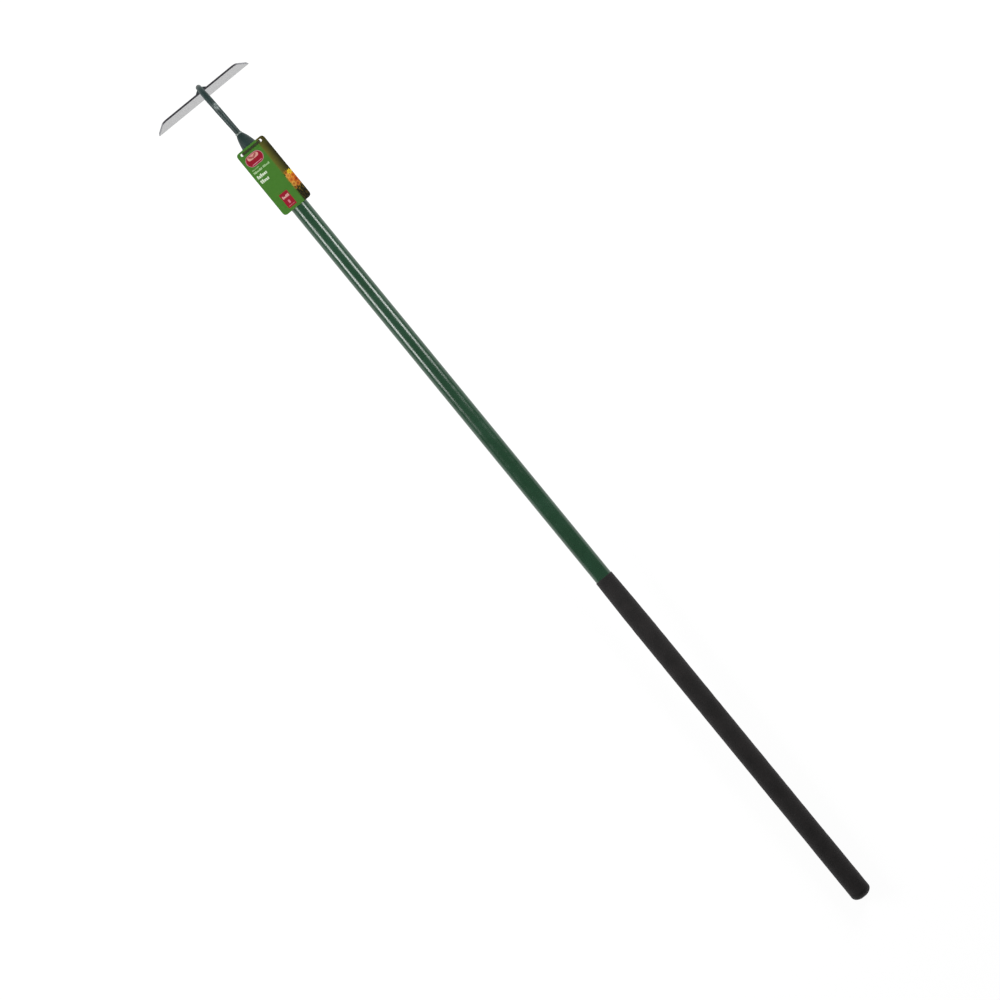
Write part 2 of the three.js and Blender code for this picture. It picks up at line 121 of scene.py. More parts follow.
NECK_OFFSET = 0.55
NECK_SKEW = math.radians(2)
NECK_RADIUS_AT_SOCKET = 4.4
NECK_RADIUS_AT_BEND = 4.85
NECK_RISE_X = 70
CREST = (20.5, 5)
TANG_END_X = 118
FOOT_WIDTH = 8.2
FOOT_THICKNESS = 8.4
FOOT_LENGTH = 26
FOOT_ABOVE_BLADE = 2
WELD_LENGTH = 21

SOCKET_MOUTH_RADIUS = 5.0
SOCKET_WALL = 1.5
NOSE_FULLNESS = 0.8
NOSE_BEND_LENGTH = 18
TUBE_WALL = 1.5
RIVET_HEAD_RADIUS = 3.25

GRIP_LIP_RADIUS = 14.3
GRIP_RADIUS = 15.55
GRIP_FLARE_LENGTH = 105
GRIP_SWELL_START = 110
GRIP_SWELL_END = 90
GRIP_DOME_HEIGHT = 10.2
GRIP_FLAT_RADIUS = 4.5
GRIP_BORE_PAST_TUBE = 3.1

CARD_CORNER = 6
CARD_HOLE_RADIUS = 2.3
CARD_HOLE_SPACING = 33.5
TIE_WIDTH = 3.6
TIE_THICKNESS = 1.0


def neck_y(x):
    """How far to the side the neck's axis lies at x."""
    return -NECK_OFFSET - (TUBE_START - x) * math.tan(NECK_SKEW)


def socket_y(x):
    """How far to the side the socket's axis lies at x: as the neck's at its mouth, then none."""
    return neck_y(x) * smoothstep(TUBE_START - x, 0, NOSE_BEND_LENGTH)


def plate_axes():
    """The blade's own frame, within the hoe's: x across, y up the plate from its top edge."""
    face = mounts["blade_face"]
    towards_user = (TO_HOE.to_3x3() @ Vector(face["axis"])).normalized()
    up_plate = towards_user.cross(Vector((0, 1, 0)))
    face_centre = TO_HOE @ Vector(face["pos_m"])
    origin = face_centre - (up_plate * PLATE_MOUNT_Y + towards_user * BLADE_THICKNESS / 2) * MM
    return axes(Vector((0, 1, 0)), up_plate, origin)


PLATE = plate_axes()
BLADE_LEAN = math.asin((PLATE.to_3x3() @ Vector((0, 0, 1))).z)


def on_plate(x, y, z):
    """A point of the blade's own frame, in the hoe's."""
    return np.array(PLATE @ (Vector((x, y, z)) * MM)) / MM


NECK_FOOT_X = neck_y(0) - PLATE.translation.y / MM


# ------------------------------------ mesh helpers

SHARP_ANGLE = math.radians(50)


def add_piece(name, shape, look, replaced, matrix=HOE):
    """A named piece from (points, faces), standing for some CAD nodes."""
    points, faces = shape
    build = bmesh.new()
    verts = [build.verts.new(Vector(p) * MM) for p in points]
    for face in faces:
        build.faces.new([verts[i] for i in face])
    bmesh.ops.recalc_face_normals(build, faces=build.faces)
    mesh = bpy.data.meshes.new(name)
    build.to_mesh(mesh)
    build.free()
    mesh.shade_smooth()
    mesh.set_sharp_from_angle(angle=SHARP_ANGLE)
    for polygon in mesh.polygons:
        polygon.use_smooth = len(polygon.vertices) <= 4
    mesh.materials.append(look)
    piece = bpy.data.objects.new(name, mesh)
    bpy.context.scene.collection.objects.link(piece)
    piece.matrix_world = matrix
    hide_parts(*replaced)
    return piece


def lofted(rings, looped=False):
    """Points and faces of a closed surface through rings of points."""
    rings = np.asarray(rings, float)
    count, sides = rings.shape[:2]
    index = np.arange(count * sides).reshape(count, sides)
    beside = np.roll(index, -1, axis=1)
    faces = []
    for i in range(count if looped else count - 1):
        j = (i + 1) % count
        faces += np.column_stack((index[i], beside[i], beside[j], index[j])).tolist()
    if not looped:
        faces += [index[0].tolist(), index[-1].tolist()]
    return rings.reshape(-1, 3), faces


def turned(profile, sides):
    """Rings about the x axis from (x, radius) pairs."""
    angles = np.linspace(0, 2 * math.pi, sides, endpoint=False)
    rings = [
        np.column_stack((np.full(sides, x), r * np.cos(angles), r * np.sin(angles)))
        for x, r in profile
    ]
    return np.array(rings)


def joined(*shapes):
    """Several closed shapes as one."""
    points, faces = [], []
    for part_points, part_faces in shapes:
        start = sum(len(p) for p in points)
        points.append(np.asarray(part_points, float))
        faces += [[i + start for i in face] for face in part_faces]
    return np.concatenate(points), faces


def rounded(corners, steps=8, closed=True):
    """An outline through (x, y, radius) corners, each rounded from that far before it."""
    path = []
    for i, (x, y, radius) in enumerate(corners):
        corner = np.array((x, y), float)
        is_end = not closed and i in (0, len(corners) - 1)
        if is_end or radius == 0:
            path.append(corner)
            continue
        start, end = (
            corner + radius * (np.array(other[:2]) - corner) / math.dist(other[:2], corner)
            for other in (corners[i - 1], corners[(i + 1) % len(corners)])
        )
        for t in np.linspace(0, 1, steps + 1):
            path.append((1 - t) ** 2 * start + 2 * t * (1 - t) * corner + t * t * end)
    return np.array(path)


def inset(outline, distance):
    """A convex outline moved inwards; the distance may differ from point to point."""
    before = outline - np.roll(outline, 1, axis=0)
    after = np.roll(outline, -1, axis=0) - outline
    unit = [step / np.linalg.norm(step, axis=1, keepdims=True) for step in (before, after)]
    tangent = unit[0] + unit[1]
    tangent /= np.linalg.norm(tangent, axis=1, keepdims=True)
    inward = np.column_stack((-tangent[:, 1], tangent[:, 0]))
    return outline + inward * np.reshape(distance, (-1, 1))


def rough(rings, size, height, seed):
    """Moves rings of points in and out from their own middles, by smooth noise."""
    rings = np.asarray(rings, float)
    offset = Vector((seed, 2 * seed, 3 * seed))
    moved = rings.copy()
    for i, ring in enumerate(rings):
        centre = ring.mean(0)
        for j, point in enumerate(ring):
            outward = point - centre
            length = max(np.linalg.norm(outward), 1e-6)
            lift = height * noise.noise(Vector(point) / size + offset)
            moved[i, j] = point + outward / length * lift
    return moved


def smoothstep(value, low, high):
    """0 at low, 1 at high, and an eased rise between them."""
    t = np.clip((value - low) / (high - low), 0, 1)
    return t * t * (3 - 2 * t)


def bezier(points, steps):
    """Points along a cubic curve with four control points."""
    a, b, c, d = (np.array(p, float) for p in points)
    t = np.linspace(0, 1, steps)[:, None]
    return (1 - t) ** 3 * a + 3 * t * (1 - t) ** 2 * b + 3 * t * t * (1 - t) * c + t**3 * d


def resampled(path, count):
    """The same path with evenly spaced points, and the distance of each from its start."""
    steps = np.linalg.norm(np.diff(path, axis=0), axis=1)
    keep = np.concatenate(([True], steps > 1e-6))
    path = path[keep]
    travelled = np.concatenate(([0], np.cumsum(np.linalg.norm(np.diff(path, axis=0), axis=1))))
    along = np.linspace(0, travelled[-1], count)
    return np.column_stack([np.interp(along, travelled, path[:, k]) for k in range(3)]), along


# ------------------------------------ material helpers


def colour(code):
    """A linear colour from a six-digit sRGB code."""
    parts = [int(code[i:i + 2], 16) / 255 for i in (0, 2, 4)]
    return [p / 12.92 if p <= 0.04045 else ((p + 0.055) / 1.055) ** 2.4 for p in parts] + [1]


class Look:
    """A node material while it is being made."""

    def __init__(self, name, **shader):
        self.material = bpy.data.materials.new(name)
        self.material.use_nodes = True
        self.tree = self.material.node_tree
        self.shader = self.tree.nodes["Principled BSDF"]
        self.set(**shader)

    def set(self, **values):
        """Sets or links the shader's sockets; an underscore stands for a space."""
        for name, value in values.items():
            self.plug(value, self.shader.inputs[name.replace("_", " ")])

    def plug(self, value, socket):
        """Links another node's output to a socket, or gives it a plain value."""
        if isinstance(value, bpy.types.NodeSocket):
            self.tree.links.new(value, socket)
        else:
            socket.default_value = value

    def node(self, kind, inputs, output=0, **settings):
        """Adds a node and gives back one of its outputs."""
        made = self.tree.nodes.new("ShaderNode" + kind)
        for key, value in settings.items():
            setattr(made, key, value)
        for key, value in inputs.items():
            self.plug(value, made.inputs[key])
        return made.outputs[output]

    def place(self, source="Object"):
        """Texture coordinates: the object's own, its normals or its UV map."""
        return self.node("TexCoord", {}, source)

    def math(self, operation, *values):
        """Arithmetic on numbers."""
        return self.node("Math", dict(enumerate(values)), operation=operation)

    def vector(self, operation, *values, output="Vector"):
        """Arithmetic on vectors."""
        return self.node("VectorMath", dict(enumerate(values)), output, operation=operation)

    def axis(self, vector, name):
        """One of a vector's three parts."""
        return self.node("SeparateXYZ", {0: vector}, name)

    def fit(self, value, low, high, to_low=0.0, to_high=1.0):
        """Maps low..high to to_low..to_high, clamped and eased."""
        inputs = {
            "Value": value,
            "From Min": low,
            "From Max": high,
            "To Min": to_low,
            "To Max": to_high,
        }
        return self.node("MapRange", inputs, "Result", interpolation_type="SMOOTHSTEP")

    def mix(self, factor, first, second):
        """A colour between two others."""
        inputs = {0: factor, 6: first, 7: second}
        return self.node("Mix", inputs, 2, data_type="RGBA")

    def noise(self, place, size, detail=2.0, roughness=0.5):
        """Noise with features of about this size in millimetres."""
        inputs = {
            "Vector": place,
            "Scale": 1 / (size * MM),
            "Detail": detail,
            "Roughness": roughness,
        }
        return self.node("TexNoise", inputs, 0)

    def cells(self, place, size):
        """The distance from the middles of cells of about this size in millimetres."""
        inputs = {"Vector": place, "Scale": 1 / (size * MM)}
        return self.node("TexVoronoi", inputs, "Distance", feature="F1")

    def stretched(self, place, x, y, z):
        """A place that makes a pattern longer along the axes with small factors."""
        return self.vector("MULTIPLY", place, (x, y, z))

    def bump(self, height, strength, depth, normal=None):
        """Bump of a depth in millimetres."""
        inputs = {"Height": height, "Strength": strength, "Distance": depth * MM}
        if normal is not None:
            inputs["Normal"] = normal
        return self.node("Bump", inputs, "Normal")


def green_paint():
    """The shaft's glossy sprayed paint: a little uneven in colour and gloss, with orange peel."""
    look = Look("green_paint")
    place = look.place()
    cloud = look.fit(look.noise(place, 34, 4), 0.35, 0.65)
    grain = look.noise(place, 0.7, 3, 0.6)
    peel = look.bump(look.noise(place, 2.2, 1.5), 0.025, 0.12)
    look.set(
        Base_Color=look.mix(cloud, colour("254b33"), colour("2a5039")),
        Roughness=look.fit(look.noise(place, 9, 3), 0.3, 0.7, 0.18, 0.28),
        Normal=look.bump(grain, 0.01, 0.03, peel),
    )
    return look.material


# The middle of a painted highlight on the neck: a lighter patch that stands for a glint of light.
PAINTED_GLINT_CENTRE = (30, -2.5, 8.5)


def dark_paint():
    """The paint of the neck and socket, with a painted highlight: a small lighter patch behind the
    bend.
    """
    look = Look("dark_paint", Specular_IOR_Level=0.34)
    place = look.place()
    cloud = look.fit(look.noise(place, 16, 4), 0.35, 0.65)
    base = look.mix(cloud, colour("243533"), colour("2c3f3d"))
    specks = look.fit(look.noise(place, 0.9, 3, 0.7), 0.62, 0.72)
    base = look.mix(look.math("MULTIPLY", specks, 0.3), base, colour("66787a"))
    # Painted highlight: a lighter, speckled patch in the paint's colour behind the neck's bend.
    painted_glint_centre = tuple(c * MM for c in PAINTED_GLINT_CENTRE)
    near_painted_glint = look.vector("MULTIPLY", look.vector("SUBTRACT", place, painted_glint_centre), (0.62, 1, 1))
    distance = look.vector("LENGTH", near_painted_glint, output="Value")
    painted_glint = look.fit(distance, 5.0 * MM, 1.6 * MM)
    painted_glint = look.math("MULTIPLY", painted_glint, look.fit(look.noise(place, 1.6, 3), 0.36, 0.56, 0, 0.8))
    skin = look.bump(look.noise(place, 3.2, 3), 0.2, 0.2)
    look.set(
        Base_Color=look.mix(painted_glint, base, colour("a3aeab")),
        Roughness=look.fit(look.noise(place, 5, 3), 0.3, 0.7, 0.4, 0.52),
        Normal=look.bump(look.noise(place, 0.6, 2), 0.15, 0.05, skin),
    )
    return look.material


def weld_metal():
    """The thinly painted, rippled bead round the neck; its light grey is partly the bead's own metal
    and partly a painted highlight.
    """
    look = Look("weld_metal", Metallic=0.35)
    place = look.place()
    # Partly painted highlight: the light grey stands in for the spots of light on the bead.
    tint = look.fit(look.noise(place, 1.3, 3), 0.35, 0.65)
    look.set(
        Base_Color=look.mix(tint, colour("65726d"), colour("9ba4a0")),
        Roughness=look.fit(look.noise(place, 1.0, 2), 0.3, 0.7, 0.38, 0.6),
        Normal=look.bump(look.noise(place, 0.8, 3), 0.5, 0.15),
    )
    return look.material


def ground_steel():
    """Bright ground faces with a grain across the blade; the cut edges keep their dark scale."""
    look = Look("ground_steel")
    place = look.place()
    facing = look.place("Normal")
    side = look.math("ABSOLUTE", look.axis(facing, "Z"))
    ragged = look.noise(place, 1.5, 3)
    face = look.fit(look.math("ADD", side, look.math("MULTIPLY", ragged, 0.2)), 0.62, 0.82)
    grain = look.noise(look.stretched(place, 0.03, 1, 1), 0.5, 3, 0.6)
    speckle = look.noise(look.stretched(place, 0.35, 1, 1), 1.1, 4, 0.7)
    bright = look.mix(look.fit(grain, 0.35, 0.65), colour("a6a6a8"), colour("c2c2c2"))
    bright = look.mix(look.fit(speckle, 0.46, 0.66, 0, 0.45), bright, colour("8f9090"))
    bevel_top = (BEVEL_LENGTH - BLADE_DEPTH) * MM
    bevel = look.fit(look.axis(place, "Y"), bevel_top + 0.2 * MM, bevel_top - 0.2 * MM)
    bevel = look.math("MULTIPLY", bevel, look.fit(look.axis(facing, "Z"), -0.5, -0.8))
    bright = look.mix(look.math("MULTIPLY", bevel, 0.8), bright, colour("dcdcde"))
    scale = look.mix(look.fit(ragged, 0.4, 0.6), colour("37353a"), colour("524f56"))
    sheared = look.mix(look.fit(ragged, 0.4, 0.6), colour("74757a"), colour("96979a"))
    scale = look.mix(look.fit(look.axis(facing, "Y"), 0.35, 0.8), sheared, scale)
    gloss = look.fit(grain, 0.3, 0.7, 0.28, 0.46)
    look.set(
        Base_Color=look.mix(face, scale, bright),
        Metallic=look.fit(face, 0, 1, 0.35, 0.92),
        Roughness=look.math("ADD", gloss, look.fit(face, 0, 1, 0.15, 0)),
        Normal=look.bump(grain, 0.25, 0.03),
    )
    return look.material


def rivet_steel():
    """Plated steel with fine handling marks."""
    look = Look("rivet_steel", Metallic=1.0)
    place = look.place()
    look.set(
        Base_Color=look.mix(look.noise(place, 2, 3), colour("a4a6a8"), colour("c3c5c7")),
        Roughness=look.fit(look.noise(place, 1, 2), 0.3, 0.7, 0.28, 0.42),
        Normal=look.bump(look.noise(place, 0.5, 2), 0.2, 0.03),
    )
    return look.material


def grip_foam():
    """Matt foam: fine pores over a soft, uneven skin."""
    look = Look("grip_foam", Specular_IOR_Level=0.3, Sheen_Weight=0.05, Sheen_Roughness=0.5)
    place = look.place()
    pores = look.fit(look.cells(place, 1.1), 0.05, 0.4)
    cloud = look.fit(look.noise(place, 22, 4, 0.6), 0.3, 0.7)
    mottle = look.fit(look.noise(place, 2.4, 4, 0.7), 0.3, 0.7)
    tone = look.math("MULTIPLY_ADD", mottle, 0.6, look.math("MULTIPLY", cloud, 0.4))
    skin = look.bump(look.noise(place, 2.6, 4, 0.65), 0.5, 0.25)
    look.set(
        Base_Color=look.mix(tone, colour("252424"), colour("383535")),
        Roughness=look.fit(mottle, 0, 1, 0.72, 0.9),
        Normal=look.bump(pores, 0.6, 0.16, skin),
    )
    return look.material


def plug_plastic():
    """Black moulded plastic, hidden inside the grip."""
    look = Look("plug_plastic")
    place = look.place()
    look.set(
        Base_Color=look.mix(look.noise(place, 6, 3), colour("1a1a1c"), colour("222225")),
        Roughness=look.fit(look.noise(place, 1.5, 2), 0.3, 0.7, 0.45, 0.6),
    )
    return look.material


def tie_nylon():
    """Dark olive nylon, a little clouded."""
    look = Look("tie_nylon", Subsurface_Weight=0.05, Subsurface_Scale=0.001)
    place = look.place()
    cloud = look.fit(look.noise(place, 3, 3), 0.3, 0.7)
    look.set(
        Base_Color=look.mix(cloud, colour("2b3216"), colour("38421f")),
        Roughness=look.fit(look.noise(place, 1.2, 2), 0.3, 0.7, 0.38, 0.52),
        Normal=look.bump(look.noise(place, 0.8, 2), 0.15, 0.05),
    )
    return look.material


def plain_board():
    """The card's uncoated back and cut edges."""
    look = Look("plain_board", Roughness=0.85)
    place = look.place("UV")
    fibres = look.noise(look.stretched(place, CARD_WIDTH * MM, CARD_LENGTH * MM, 1), 0.8, 4, 0.7)
    look.set(
        Base_Color=look.mix(look.fit(fibres, 0.3, 0.7), colour("d8d6cf"), colour("e9e8e3")),
        Normal=look.bump(fibres, 0.2, 0.05),
    )
    return look.material


# ------------------------------------ the card's printed face


class Print(Look):
    """Flat artwork on the card's face. Its places are millimetres from the card's head corner."""

    EDGE = 0.12

    def __init__(self, name, ground, **shader):
        super().__init__(name, **shader)
        self.page = self.vector("MULTIPLY", self.place("UV"), (CARD_WIDTH, CARD_LENGTH, 0))
        self.ink = ground

    def local(self, x, y, turn=0.0, wide=1.0, high=1.0):
        """The page as seen from a shape's own centre."""
        inputs = {
            "Vector": self.page,
            "Location": (x, y, 0),
            "Rotation": (0, 0, turn),
            "Scale": (wide, high, 1),
        }
        return self.node("Mapping", inputs, vector_type="TEXTURE")

    def panel(self, left, top, right, bottom, radius):
        """A mask that is 1 inside a rectangle with rounded corners."""
        half = ((right - left) / 2 - radius, (bottom - top) / 2 - radius, 0)
        offset = self.vector("ABSOLUTE", self.local((left + right) / 2, (top + bottom) / 2))
        outside = self.vector("MAXIMUM", self.vector("SUBTRACT", offset, half), (0, 0, 0))
        distance = self.vector("LENGTH", outside, output="Value")
        return self.fit(distance, radius + self.EDGE, radius - self.EDGE)

    def oval(self, x, y, wide, high, turn=0.0):
        """A mask that is 1 inside an ellipse with these half widths."""
        distance = self.vector("LENGTH", self.local(x, y, turn, wide, high), output="Value")
        soft = self.EDGE / min(wide, high)
        return self.fit(distance, 1 + soft, 1 - soft)

    def both(self, first, second):
        """The part of one mask that is inside another."""
        return self.math("MULTIPLY", first, second)

    def without(self, first, second):
        """The part of one mask that is outside another."""
        return self.math("MULTIPLY", first, self.math("SUBTRACT", 1.0, second))

    def lay(self, mask, code, strength=1.0):
        """Prints a colour code, or another node's colour, where the mask is."""
        if strength != 1.0:
            mask = self.math("MULTIPLY", mask, strength)
        ink = colour(code) if isinstance(code, str) else code
        self.ink = self.mix(mask, self.ink, ink)

    def words(self, left, top, right, bottom, letter, code):
        """A row of blank blocks that stands for print: a tall one, then tall and short ones."""
        place = self.math("DIVIDE", self.math("SUBTRACT", self.axis(self.page, "X"), left), letter)
        wave = self.math("SINE", self.math("MULTIPLY", place, math.pi))
        gaps = self.fit(self.math("ABSOLUTE", wave), 0.15, 0.45)
        seed = self.math("ADD", self.math("FLOOR", place), top)
        chance = self.node("TexWhiteNoise", {"W": seed}, "Value", noise_dimensions="1D")
        shoulder = top + 0.32 * (bottom - top)
        above = self.fit(self.axis(self.page, "Y"), shoulder + self.EDGE, shoulder - self.EDGE)
        is_first = self.math("LESS_THAN", place, 1.0)
        is_short = self.without(self.math("LESS_THAN", chance, 0.55), is_first)
        blocks = self.both(self.panel(left, top, right, bottom, 0.4), gaps)
        self.lay(self.without(blocks, self.both(is_short, above)), code)

    def petals(self, x, y, radius, count, turn, petal, heart):
        """A simple flower: a wavy disc with a round heart."""
        local = self.local(x, y, turn)
        angle = self.math("ARCTAN2", self.axis(local, "Y"), self.axis(local, "X"))
        wave = self.math("ABSOLUTE", self.math("COSINE", self.math("MULTIPLY", angle, count / 2)))
        reach = self.math("MULTIPLY_ADD", wave, radius * 0.45, radius * 0.55)
        distance = self.vector("LENGTH", local, output="Value")
        inside = self.math("SUBTRACT", reach, distance)
        shade = self.fit(distance, 0, radius)
        self.lay(self.fit(inside, -0.2, 0.3), self.mix(shade, colour(heart), colour(petal)))
        self.lay(self.fit(distance, radius * 0.26, radius * 0.2), heart, 0.8)


BAND_LEFT = 36.6
GARDEN = (
    # x, y, radius, petals, turn, petal, heart
    (41.2, 64.4, 3.4, 7, 0.4, "c47a1c", "7e4410"),
    (49.0, 69.2, 3.6, 8, 0.2, "cf7a16", "8a3c0c"),
    (37.8, 73.6, 3.6, 9, 0.7, "d08a30", "7e4412"),
    (44.0, 76.2, 4.0, 8, 0.1, "bf5c14", "6e2c08"),
    (43.6, 82.2, 4.2, 9, 0.4, "c8701c", "743408"),
    (49.2, 86.0, 3.6, 8, 0.6, "b86a20", "6a3408"),
    (38.4, 88.4, 3.4, 7, 0.9, "b8742a", "6a3a10"),
    (46.0, 65.8, 4.2, 8, 0.3, "f2dc2c", "d8a020"),
    (40.4, 69.6, 4.4, 9, 0.8, "efae52", "c87a24"),
    (47.0, 72.8, 4.4, 10, 0.1, "f08c1e", "b04a10"),
    (40.8, 77.0, 5.2, 9, 0.5, "ee9a38", "b65a18"),
    (47.2, 80.0, 4.2, 8, 0.9, "d9641a", "8a3410"),
    (39.8, 83.6, 4.2, 9, 0.2, "e8b04c", "a85c1a"),
    (45.0, 86.4, 4.0, 8, 0.6, "d8862c", "9a4412"),
)


def picture(art, y, mottle, metres):
    """The strip down one side: dusk above, a bed of flowers, and dark leaves below."""
    across = art.math("ADD", art.axis(art.page, "X"), art.math("MULTIPLY", mottle, 4.0))
    dusk = art.mix(art.fit(across, BAND_LEFT, CARD_WIDTH + 1), colour("6c6a24"), colour("2e2c0e"))
    dusk = art.mix(art.fit(y, 22, 2, 0, 0.45), dusk, colour("4e4818"))
    leaning = {"Vector": metres, "Rotation": (0, 0, 0.9), "Scale": (1, 0.22, 1)}
    leaves = art.noise(art.node("Mapping", leaning), 1.3, 2, 0.5)
    shade = art.mix(art.fit(leaves, 0.5, 0.66), colour("1a1c02"), colour("b08c20"))
    shade = art.mix(art.fit(y, 88, 104, 0, 0.85), shade, colour("101204"))
    return art.mix(art.fit(y, 56, 70), dusk, shade)


def printed_card():
    """A green card with a badge, blank rows for small print, a crimson block and a picture."""
    art = Print("printed_card", colour("457c28"), Specular_IOR_Level=0.25)
    x, y = art.axis(art.page, "X"), art.axis(art.page, "Y")
    metres = art.vector("MULTIPLY", art.page, (MM, MM, MM))
    mottle = art.noise(metres, 7, 3)
    art.lay(art.fit(mottle, 0.3, 0.7), "4a802e", 0.6)

    plain = art.ink
    art.ink = picture(art, y, mottle, metres)
    for flower in GARDEN:
        art.petals(*flower)
    art.ink = art.mix(art.fit(x, BAND_LEFT - 1.6, BAND_LEFT + 1.8), plain, art.ink)

    art.lay(art.panel(4.4, 11.2, 32.6, 29.4, 9.0), "c88494")
    inner = art.panel(5.2, 12.0, 31.8, 28.6, 8.2)
    art.lay(inner, "9a1028")
    cream = art.both(inner, art.panel(9.4, 12.8, 27.6, 19.4, 3.2))
    art.lay(cream, "dca094")
    for turn, side in ((0.6, -1), (-0.6, 1)):
        art.lay(art.oval(18.5 + 3.6 * side, 15.6, 3.8, 1.5, turn), "9a1028", 0.75)
    art.lay(art.panel(18.0, 15.5, 19.0, 19.6, 0.3), "9a1028", 0.75)
    art.lay(art.panel(10.3, 25.9, 26.8, 26.9, 0.5), "d58fa0")

    art.words(4.4, 31.6, 16.4, 33.2, 1.3, "9cc187")
    art.words(3.8, 35.4, 18.4, 38.6, 1.7, "b4d3a0")
    art.words(20.2, 35.4, 31.6, 38.6, 1.7, "a9cb94")
    art.words(3.8, 42.2, 20.5, 47.4, 2.9, "dcebd0")
    art.words(3.8, 50.4, 17.6, 55.6, 2.9, "dcebd0")

    art.lay(art.panel(11.8, 83.2, 26.0, 107.2, 0.8), "9c142c")
    art.words(13.4, 88.2, 24.4, 92.4, 1.9, "e6b4ac")
    art.lay(art.panel(17.4, 96.2, 20.2, 101.8, 1.2), "d6808a")
    art.lay(art.panel(13.8, 104.2, 24.0, 105.2, 0.5), "c46a74")

    # Painted shade: a darker green line along the crease; the same mask also dents the card's face a
    # little.
    from_crease = art.math("ABSOLUTE", art.math("SUBTRACT", y, CREASE_X - CARD_LOW[0]))
    crease = art.fit(from_crease, 0.7, 0.1)
    art.lay(crease, "2e5a20", 0.35)
    film = art.noise(metres, 3.5, 2)
    art.set(
        Base_Color=art.ink,
        Roughness=art.fit(film, 0.3, 0.7, 0.42, 0.5),
        Normal=art.bump(art.math("MULTIPLY_ADD", crease, -1.0, film), 0.12, 0.15),
    )
    return art.material


# ------------------------------------ the head


# How far in, and how far from the face, each step of the blade's softened edges lies.
BLADE_SOFTENING = ((0.32, 0), (0.16, 0.05), (0.05, 0.16), (0, 0.34))


def blade_shape():
    """A plate with slanted ends and softened edges, ground to a bevel on its outer face."""
    top = BLADE_TOP_WIDTH / 2
    edge = BLADE_EDGE_WIDTH / 2
    bevel_y = -BLADE_DEPTH + BEVEL_LENGTH
    at_bevel = top + (edge - top) * -bevel_y / BLADE_DEPTH
    outline = rounded([
        (-edge, -BLADE_DEPTH, BLADE_EDGE_CORNER),
        (edge, -BLADE_DEPTH, BLADE_EDGE_CORNER),
        (at_bevel, bevel_y, 0),
        (top, 0, BLADE_TOP_CORNER),
        (-top, 0, BLADE_TOP_CORNER),
        (-at_bevel, bevel_y, 0),
    ], steps=12)
    slope = (BLADE_THICKNESS - CUTTING_EDGE) / BEVEL_LENGTH
    thickness = BLADE_THICKNESS - slope * np.maximum(0, bevel_y - outline[:, 1])
    share = thickness / BLADE_THICKNESS
    rings = []
    for outer in (True, False):
        for amount, rise in BLADE_SOFTENING if outer else BLADE_SOFTENING[::-1]:
            flat = inset(outline, amount * share)
            lost = slope * np.maximum(0, bevel_y - flat[:, 1])
            if outer:
                z = -BLADE_THICKNESS / 2 + lost + rise * share
            else:
                z = BLADE_THICKNESS / 2 - rise * share
            rings.append(np.column_stack((flat, np.broadcast_to(z, len(flat)))))
    points, faces = lofted(rings)
    outer_face, inner_face = faces[-2:]
    split = int(np.argmin(np.abs(outline[:, 1] - bevel_y) + (outline[:, 0] < 0) * edge))
    bevel_face = [outer_face[-1], *outer_face[:split + 1]]
    return points, faces[:-2] + [outer_face[split:], bevel_face, inner_face]


def neck_path():
    """The neck's centre line, from the end of its tang to the end of its foot."""
    foot_z = -(BLADE_THICKNESS / 2 + GAP + FOOT_THICKNESS / 2)
    crest_x, crest_z = CREST
    tang_end = np.array((TANG_END_X, neck_y(TANG_END_X), 0))
    rise_start = np.array((NECK_RISE_X, neck_y(NECK_RISE_X), 0))
    crest = np.array((crest_x, neck_y(crest_x), crest_z))
    foot_top = on_plate(NECK_FOOT_X, FOOT_ABOVE_BLADE, foot_z)
    foot_end = on_plate(NECK_FOOT_X, FOOT_ABOVE_BLADE - FOOT_LENGTH, foot_z)
    forward = np.array((-1, -math.tan(NECK_SKEW), 0)) * math.cos(NECK_SKEW)
    up_plate = np.array(PLATE.to_3x3() @ Vector((0, 1, 0)))
    rise = forward * (NECK_RISE_X - crest_x) * 0.4
    turn = math.pi / 2 + BLADE_LEAN
    bend_radius = (crest_z - foot_top[2]) / (1 + math.sin(BLADE_LEAN))
    bend = (4 / 3) * math.tan(turn / 4) * bend_radius
    return np.concatenate((
        [tang_end],
        bezier((rise_start, rise_start + rise, crest - rise, crest), 60),
        bezier((crest, crest + forward * bend, foot_top + up_plate * bend, foot_top), 80),
        [foot_end],
    ))


def neck_shape():
    """A forged rod: round behind, flattened into a foot that ends in a soft nose."""
    nose_length = 6.0
    smallest_tip = 0.08
    centres, along = resampled(neck_path(), 220)
    length = along[-1]
    bend_start = TANG_END_X - CREST[0]
    thickening = smoothstep(along, TANG_END_X - SOCKET_LOW[0], bend_start)
    round_radius = NECK_RADIUS_AT_SOCKET * (1 - thickening) + NECK_RADIUS_AT_BEND * thickening
    flattening = smoothstep(along, bend_start, length - FOOT_LENGTH)
    left = np.clip((length - along) / nose_length, 0, 1)
    tip = np.maximum(np.sqrt(1 - (1 - left) ** 2), smallest_tip)
    half_width = (round_radius + (FOOT_WIDTH / 2 - round_radius) * flattening) * tip
    half_height = (round_radius + (FOOT_THICKNESS / 2 - round_radius) * flattening) * tip
    across = np.array((0, 1, 0))
    outward = np.cross(np.gradient(centres, axis=0), across)
    outward /= np.linalg.norm(outward, axis=1, keepdims=True)
    angles = np.linspace(0, 2 * math.pi, 40, endpoint=False)
    rings = [
        c + np.outer(w * np.cos(angles), across) + np.outer(h * np.sin(angles), o)
        for c, w, h, o in zip(centres, half_width, half_height, outward)
    ]
    return lofted(rough(rings, size=9, height=0.16, seed=3))


